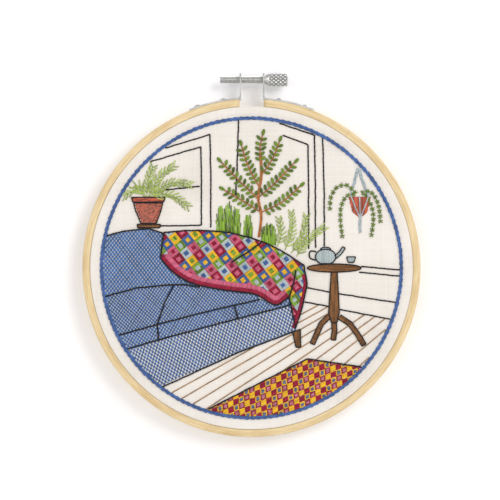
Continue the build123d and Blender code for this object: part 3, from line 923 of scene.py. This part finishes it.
def weave(threads, ties, polygon, tilt, half_width, half_height, width):
    """Laid threads that pass over and under each other round the throw, tied down where they cross."""
    slope = degrees(atan2(half_height, half_width))
    spacing = 2 * half_width * sin(radians(slope))
    radius, half_tie, shortest = width / 2, 0.42, 0.8
    pitch = spacing / sin(radians(2 * slope)) / 3
    angles = (tilt + slope, tilt - slope)
    for family, angle in enumerate(angles):
        other = radians(angles[1 - family])
        other_normal = (-sin(other), cos(other))
        for k, foot, direction, runs in scan(polygon, angle, spacing, [throw_shape]):
            for low, high in runs:
                if high - low < shortest:
                    continue
                count = max(3, int((high - low) / pitch))
                line, radii = [], []
                for m in range(count + 1):
                    u, v = ahead(foot, direction, low + (high - low) * m / count)
                    crossing = (u * other_normal[0] + v * other_normal[1]) / spacing
                    rise, thickness = 0.62 + 0.42 * cos(pi * (crossing + k + family)), 1.0
                    if m in (0, count):
                        rise, thickness = -0.3, 0.7
                    line.append((u, v, -drum_drop + radius * rise))
                    radii.append(radius * thickness)
                threads.carry(line[0][:2])
                threads.last_end = line[-1][:2]
                threads.tube(line, radii, flat=0.5, tone=threads.random.random())
    reach = int(picture_radius / spacing) + 1
    first, second = (radians(angle) for angle in angles)
    size = sin(first - second)
    for i in range(-reach, reach):
        for j in range(-reach, reach):
            crossing = ((j * cos(first) - i * cos(second)) * spacing / size,
                        (j * sin(first) - i * sin(second)) * spacing / size)
            if hypot(*crossing) > picture_radius or inside(crossing, throw_shape):
                continue
            if inside(crossing, polygon):
                ends = [ahead(crossing, aim(tilt), distance) for distance in (-half_tie, half_tie)]
                ties.stitch(*ends, 0.4, 0.34)


def make_sofa():
    """The sofa's cover, one woven filling for each of its faces, and its black outlines."""
    edge = picture_radius + 0.5
    back = rim(190.9, 167.5, 6, edge) + sofa_back_edge + [(4, -13)] + seat_back_line[::-1]
    seat = seat_back_line + [(-12, -10), (4, -13)] + seat_front_line[::-1] + rim(206.9, 190.9, 6, edge)
    cushions = seat_front_line + [(12, -15), (18.6, -12)] + front_top_line[::-1] + rim(213.3, 206.9, 4, edge)
    base = front_top_line + [(21.5, -17)] + sofa_base_line[:2] + rim(232.5, 213.3, 8, edge)
    filling = Threads("sofa_weave", 21)
    ties = Threads("sofa_ties", 23)
    ties.sides, ties.back_sides = 4, 3
    for face, *pattern in ((back, 0, 0.82, 1.06, 0.72), (seat, 8, 0.80, 0.94, 0.62),
                           (cushions, 12, 0.84, 0.98, 0.66), (base, 20, 0.86, 1.16, 0.5)):
        weave(filling, ties, face, *pattern)
    filling.piece("denim", "sofa_filling")
    ties.piece("navy", slot="blue_thread")
    top_edge = rim(167.5, 167.5, 1, edge)[:1] + sofa_back_edge[:3]
    lines = [seat_back_line + [(-24, -9)], seat_front_line, front_top_line, *cushion_splits, top_edge,
             sofa_base_line]
    black_lines("sofa_outline_stitches", 22, ["sofa_outline"], (lines, {"lift": 0.3}))


def patches(size, turn, skew=0):
    """The parallelograms of a patchwork that covers the picture, each with its column and row."""
    du, dv = cos(radians(turn)) * size, sin(radians(turn)) * size
    eu, ev = -sin(radians(turn + skew)) * size, cos(radians(turn + skew)) * size
    reach = int(picture_radius / size) + 2
    for i in range(-reach, reach):
        for j in range(-reach, reach):
            u, v = i * du + j * eu, i * dv + j * ev
            yield i, j, [(u, v), (u + du, v + dv), (u + du + eu, v + dv + ev), (u + eu, v + ev)]


def make_throw():
    """A patchwork throw: satin squares with a small contrasting square in each, and two edge bands."""
    names = ("pink", "green", "blue", "yellow", "red", "sky")
    centres = ("red", "sky", "yellow", "green", "pink", "blue")
    turn = 38
    work = {name: Threads(f"throw_{name}_satin", 31 + k) for k, name in enumerate(names)}
    for i, j, shape in patches(4.4, turn):
        k = (i + 2 * j) % 6
        lean = turn + (90 if (i + j) % 2 else 0)
        work[names[k]].fill_within(shape, throw_core, lean)
        work[centres[k]].fill_within(shrunk(shape, 0.44), throw_core, lean + 90, 0.42, 0.52, 0.26)
    hem = throw_hem + [(-42.6, 6)]
    side = [(25.2, -3)] + throw_right
    edges = ((hem, "red", 0.15, throw_band), (hem, "pink", throw_band - 0.1, 2 * throw_band),
             (side, "red", 0.15, 1.8))
    for edge, name, *distances in edges:
        lines = [along(shifted(edge, distance), 0.38) for distance in distances]
        count = max(len(line) for line in lines)
        for k in range(count):
            ends = [line[k * (len(line) - 1) // (count - 1)][0] for line in lines]
            work[name].stitch(*(ends if k % 2 else ends[::-1]), 0.56, 0.3)
    for name in names:
        work[name].piece(name, f"throw_{name}")
    black_lines("throw_outline_stitches", 39, ["throw_outline"],
                ([throw_shape], {"lift": 0.45, "closed": True}), (throw_folds, {"lift": 0.62}))


def make_rug():
    """A small-patterned rug: two ground colours and two colours of small patches on them."""
    names = ("yellow", "red", "blue", "pink")
    grounds = {"yellow": "yellow", "red": "red", "blue": "yellow", "pink": "red"}
    colours = {"red": "red", "yellow": "yellow", "pink": "lilac", "blue": "teal"}
    turn = 22
    rug_area = rim(253, 318, 12, picture_radius + 0.5) + [(26, -42.4)]
    work = {name: Threads(f"rug_{name}_satin", 41 + k) for k, name in enumerate(names)}
    for i, j, shape in patches(2.7, turn, -18):
        name = names[(i + 3 * j) % 4]
        lean = turn + (0 if j % 2 else 8)
        work[grounds[name]].fill_within(shape, rug_area, lean, 0.44)
        if grounds[name] != name:
            work[name].fill_within(shrunk(shape, 0.56), rug_area, lean, 0.42, lift=0.22)
    for name in names:
        work[name].piece(colours[name], f"rug_{name}", slot=f"{name}_thread")
    black_lines("rug_outline_stitches", 46, ["rug_outline"], ([rug_edge], {"lift": 0.3}))


def make_floor():
    """Plank seams that run towards one far point on the right."""
    seams = Threads("floor_seams", 51)
    far, shortest, overlap = (150, 45), 5, 0.4
    covers = [rug_shape, leg_shape, table_stem] + [band(foot, -1.2, 1.2) for foot in table_feet]
    for k in range(13):
        near = (-78 + 9.4 * k, -60)
        direction = unit(near, far)
        runs = spans(near, direction, floor_shape)
        for cover in covers:
            runs = without(runs, spans(near, direction, cover))
        for low, high in runs:
            if high - low > shortest:
                ends = [ahead(near, direction, low - overlap), ahead(near, direction, high + overlap)]
                seams.back_stitch(ends, 4.2, 0.56, wander=0.05)
    seams.piece("tan", "floor_lines")


def make_wall():
    """Windows and skirting as single black lines."""
    lines = wall_lines + left_window + right_window
    black_lines("wall_outline_stitches", 61, ["wall_lines"], (lines, {"width": 0.68}))


def make_pot():
    """The terracotta pot on its stool, and the sofa's leg."""
    pot = Threads("terracotta_pot", 71)
    stitch_length, advance, stagger = 1.2, 1.35, 0.7
    for number, (_, foot, direction, runs) in enumerate(scan(pot_shape, 4, 0.62)):
        for low, high in runs:
            t = low + (stagger if number % 2 else 0)
            while t < high:
                end = min(t + stitch_length, high)
                pot.stitch(ahead(foot, direction, t), ahead(foot, direction, end), 0.6)
                t += advance
    pot.fill(pot_rim, 0, 3.4, 0.44)
    pot.piece("terracotta", "plant_pot")
    satin("pot_stool_satin", 72, (stool_shape, 0, 4, 0.42, 0.52)).piece("brown", "pot_stool")
    satin("sofa_leg_satin", 73, (leg_shape, 88, 5)).piece("brown", "sofa_leg")
    settings = {"pitch": 1.8, "width": 0.6, "lift": 0.2, "closed": True, "wander": 0.04}
    black_lines("pot_outline_stitches", 74, [], ([pot_shape, pot_rim, stool_shape, leg_shape], settings))


def make_table():
    """The round side table in long brown stitches."""
    wood = satin("side_table_satin", 81, (table_top, 0, 5), (table_stem, 90, 5.5))
    for foot in table_feet:
        for offset in (-0.72, -0.24, 0.24, 0.72):
            wood.back_stitch(shifted(foot, offset), 3.2, 0.54, wander=0.05)
    wood.piece("brown", "side_table")
    stem_edges = [table_stem[:1] + table_stem[:-5:-1], table_stem[1:5]]
    foot_edges = [band(foot, foot_width / 2, -foot_width / 2) for foot in table_feet]
    black_lines("table_outline_stitches", 82, ["table_outline"],
                ([table_top], {"pitch": 1.8, "width": 0.6, "lift": 0.25, "closed": True, "wander": 0.03}),
                (stem_edges, {"pitch": 2.0, "width": 0.58, "lift": 0.25, "wander": 0.03}),
                (foot_edges, {"pitch": 2.0, "width": 0.56, "lift": 0.2, "wander": 0.03}))


def make_tea_set():
    """A round teapot with its spout and handle, and a cup."""
    lid = arc((34.6, 8.7), 2.4, 1.0, 0, 180, 8)
    china = satin("tea_set_satin", 91, (teapot_shape, 90, 8), (cup_shape, 90, 4, 0.42, 0.52),
                  (lid, 90, 3, 0.42, 0.5))
    for offset in (-0.3, 0.3):
        china.back_stitch(shifted(teapot_spout, offset), 2, 0.56)
    china.piece("sky", "tea_set")
    works = []
    for line, pitch, width, closed in (
        (teapot_shape, 1.5, 0.6, True), (cup_shape, 1.5, 0.56, True), (lid, 1.2, 0.56, False),
        (band(teapot_spout, 0.72, -0.72), 1.6, 0.56, False), (curved(teapot_handle, 3), 1.4, 0.66, False),
    ):
        settings = {"pitch": pitch, "width": width, "lift": 0.22, "closed": closed, "wander": 0.02}
        works.append(([line], settings))
    black_lines("tea_outline_stitches", 92, ["tea_outline"], *works)


def leaf_stitches(threads, base, angle, length, width, tone):
    """A pointed leaf of four stitches that share their ends."""
    tip = ahead(base, aim(angle), length)
    for share in (-0.3, -0.1, 0.1, 0.3):
        varied = min(1, max(0, tone + threads.random.uniform(-0.2, 0.2)))
        threads.stitch(base, tip, 0.26 * width + 0.16, 0.3, 1.15 * share * width, tone=varied)


def make_tree():
    """A small tree: a brown trunk, branches, and pairs of leaves."""
    wood = Threads("tree_wood", 101)
    for offset in (-0.35, 0.0, 0.35):
        wood.back_stitch(shifted(curved(trunk), offset), 3.0, 0.52, 0.12, wander=0.05)
    for line in branches:
        wood.back_stitch(curved(line), 2.4, 0.62, 0.12, wander=0.06)
    wood.piece("bark", "tree_trunk")
    leaves = Threads("tree_leaf_stitches", 102)
    for line in branches:
        *stops, (tip, tip_heading) = along(curved(line), 2.35)[1:]
        for point, heading in stops:
            angle = degrees(atan2(heading[1], heading[0]))
            for side in (-1, 1):
                lean = side * leaves.random.uniform(48, 66)
                length = leaves.random.uniform(2.2, 3.0)
                foot = (point[0] - side * 0.3 * heading[1], point[1] + side * 0.3 * heading[0])
                leaf_stitches(leaves, foot, angle + lean, length, 1.45, leaves.random.random())
        leaf_stitches(leaves, tip, degrees(atan2(tip_heading[1], tip_heading[0])), 2.9, 1.6, 0.6)
    leaves.piece("leaf", "tree_leaves")


def make_ferns():
    """Light green fronds: slanted stitches in pairs along a stem."""
    ferns = Threads("fern_fly_stitches", 111)
    for line, spread in [(line, 3.9) for line in fronds] + [(line, 3.5) for line in sill_fronds]:
        stem = curved(line)
        ferns.back_stitch(stem, 2.4, 0.42, 0.1, wander=0.04)
        stops = along(stem, 1.75)
        for k, (point, heading) in enumerate(stops[1:]):
            angle = degrees(atan2(heading[1], heading[0]))
            taper = 1 - 0.35 * (k / len(stops))
            for side in (-1, 1):
                lean = angle + side * ferns.random.uniform(32, 44)
                length = spread * taper * ferns.random.uniform(0.85, 1.1)
                ferns.stitch(point, ahead(point, aim(lean), length), 0.52, 0.2, side * 0.18)
    ferns.piece("lime", "fern_leaves")


def make_grass():
    """Tufts of upright blades behind the sofa, in long and short stitches."""
    grass = Threads("grass_blade_stitches", 121)
    blades, blade_gap, shortest = 9, 0.46, 1.5
    for (u, v), height in grass_tufts:
        for k in range(blades):
            aside = k - blades // 2
            top = height * (1 - 0.035 * aside ** 2) * grass.random.uniform(0.86, 1.04)
            t = grass.random.uniform(-1.5, 0)
            while t < top - shortest:
                length = grass.random.uniform(3.4, 6.0)
                low, high = max(t, -0.6), min(t + length, top)
                sway = 0.05 * aside
                start = (u + aside * blade_gap + sway * low * 0.25, v + low)
                wander = grass.random.uniform(-0.3, 0.3)
                end = (u + aside * blade_gap + sway * high * 0.25 + wander, v + high)
                grass.stitch(start, end, 0.46, 0.05, tone=grass.random.choice((0.05, 0.4, 0.7, 1.0, 1.0)))
                t += length * 0.8
    grass.piece("green", "grass_blades")


def make_hanging_plant():
    """A pot in a corded hanger, with trailing stems of small leaves."""
    satin("hanging_pot_satin", 131, (basket_shape, 90, 6, 0.44)).piece("terracotta", "hanging_pot")
    cords = Threads("hanger_cord_stitches", 132)
    for line in hanger_cords:
        for offset in (-0.42, 0.0, 0.42):
            cords.back_stitch(shifted(curved(line), offset), 3.0, 0.5, 0.1, wander=0.12)
    for line in hanger_nets:
        cords.back_stitch(line, 3.0, 0.6, 0.35, wander=0.1)
    cords.piece("grey", "hanger_cords")
    stems = Threads("vine_stem_stitches", 133)
    leaves = Threads("vine_leaf_stitches", 134)
    for line in vines:
        stem = curved(line)
        stems.back_stitch(stem, 2.0, 0.42, 0.3, wander=0.04)
        for point, heading in along(stem, 2.5):
            angle = atan2(heading[1], heading[0])
            for side in (-1, 1):
                for lean, length in ((38, 1.35), (98, 1.1)):
                    turn = angle + side * radians(lean + leaves.random.uniform(-12, 12))
                    tip = ahead(point, (cos(turn), sin(turn)), length)
                    leaves.stitch(point, tip, 0.46, 0.35, tone=leaves.random.uniform(0.2, 0.9))
    stems.piece("leaf", "vine_stems")
    leaves.piece("leaf", "vine_leaves")


def make_gathering_thread():
    """A running stitch over the pleats behind the hoop."""
    white = Threads("gathering_stitches", 141)
    gather_radius, count, filled, steps = 59.0, 36, 0.72, 8
    level = -(margin_y - cloth_y / MM)
    for k in range(count):
        line, radii = [], []
        for m in range(steps + 1):
            angle = 2 * pi * (k + filled * m / steps) / count
            reach = gather_radius + 0.4 * sin(5 * angle)
            at_end = m in (0, steps)
            depth = (0.9 if at_end else -0.12) + 0.08 * sin(40 * angle)
            line.append((reach * sin(angle), reach * cos(angle), level + depth))
            radii.append(0.2 if at_end else 0.28)
        white.tube(line, radii, 1.0, white.random.random())
    white.piece("white", "gathering_thread")


# ---- stage, light and camera


def stage_material(name, colour, one_sided):
    """Smooth pale paint. One that is one-sided glows faintly, and is clear when seen from behind."""
    shader = Shader(name, roughness=0.9, specular=0.1)
    grain = shader.noise(30, 2, shader.object_point())
    paler = tuple(min(1.0, 1.02 * c) for c in colour[:3]) + (1.0,)
    shader.set("Base Color", shader.ramp(grain, [(0.3, colour), (0.7, paler)]))
    if one_sided:
        shader.set("Emission Color", (1, 1, 1, 1))
        shader.set("Emission Strength", 0.12)
        clear = shader.add("BsdfTransparent")
        facing = shader.add("NewGeometry").outputs["Backfacing"]
        blend = shader.add("MixShader", {0: facing, 1: shader.surface.outputs["BSDF"],
                                         2: clear.outputs["BSDF"]})
        output = shader.tree.nodes["Material Output"]
        shader.tree.links.new(blend.outputs["Shader"], output.inputs["Surface"])
    return shader.material


def make_stage():
    """The wall behind the hoop, which shows only to the camera, and the floor below it."""
    wall_y, size = 0.0008, 3.0
    floor_z = ring_z - 0.26
    sides = (-size, size, size, -size)
    wall_corners = list(zip(sides, [wall_y] * 4, (floor_z, floor_z, size, size)))
    floor_corners = list(zip(sides, (-size, -size, size, size), [floor_z] * 4))
    wall_paint = stage_material("wall_paint", (0.93, 0.915, 0.925, 1), True)
    wall = add_mesh("backdrop", wall_corners, [(0, 1, 2, 3)], wall_paint, False)
    floor_paint = stage_material("floor_paint", (0.86, 0.86, 0.85, 1), False)
    floor = add_mesh("floor", floor_corners, [(0, 1, 2, 3)], floor_paint, False)
    for ray in ("diffuse", "glossy", "transmission", "volume_scatter", "shadow"):
        setattr(wall, "visible_" + ray, False)


def area_light(name, position, target, size, power):
    data = bpy.data.lights.new(name, "AREA")
    data.shape = "DISK"
    data.size = size
    data.energy = power
    lamp = bpy.data.objects.new(name, data)
    lamp.location = position
    direction = Vector(target) - Vector(position)
    lamp.rotation_euler = direction.to_track_quat("-Z", "Y").to_euler()
    bpy.context.scene.collection.objects.link(lamp)


def make_lights():
    world = bpy.data.worlds.new("studio")
    world.use_nodes = True
    background = world.node_tree.nodes["Background"]
    background.inputs["Color"].default_value = (1, 1, 1, 1)
    background.inputs["Strength"].default_value = 0.56
    bpy.context.scene.world = world
    target = (0, 0, ring_z)
    area_light("window_light", (1.1, -1.5, ring_z + 0.85), target, 1.1, 16.4)
    area_light("fill_light", (-0.9, -1.3, ring_z + 0.3), target, 1.2, 4.8)
    area_light("back_light", (0.5, 0.9, ring_z + 0.5), target, 0.7, 4.0)
    bpy.context.scene.view_settings.view_transform = "Standard"


def make_camera():
    data = bpy.data.cameras.new("camera")
    sensor, distance, frame_width = 36.0, 1.0, 0.2335
    data.sensor_width = sensor
    data.lens = sensor * distance / frame_width
    data.clip_start = 0.01
    data.clip_end = 20.0
    camera = bpy.data.objects.new("camera", data)
    camera.location = (-0.0007, cloth_y - distance, ring_z + 0.0084)
    camera.rotation_euler = (pi / 2, 0, 0)
    bpy.context.scene.collection.objects.link(camera)
    bpy.context.scene.camera = camera


# ---- the whole

make_camera()
make_outer_ring()
keep_cad_node("inner_ring", inner_bamboo, 0.1)
for side in ("left", "right"):
    keep_cad_node(f"{side}_bracket", sheet_metal, 0.12)
    keep_cad_node(f"{side}_rivets", rivet_metal, 0.05)
make_clamp_screw()
make_cloth()
make_gathering_thread()
make_border()
make_sofa()
make_throw()
make_rug()
make_floor()
make_wall()
make_pot()
make_table()
make_tea_set()
make_tree()
make_ferns()
make_grass()
make_hanging_plant()
make_stage()
make_lights()
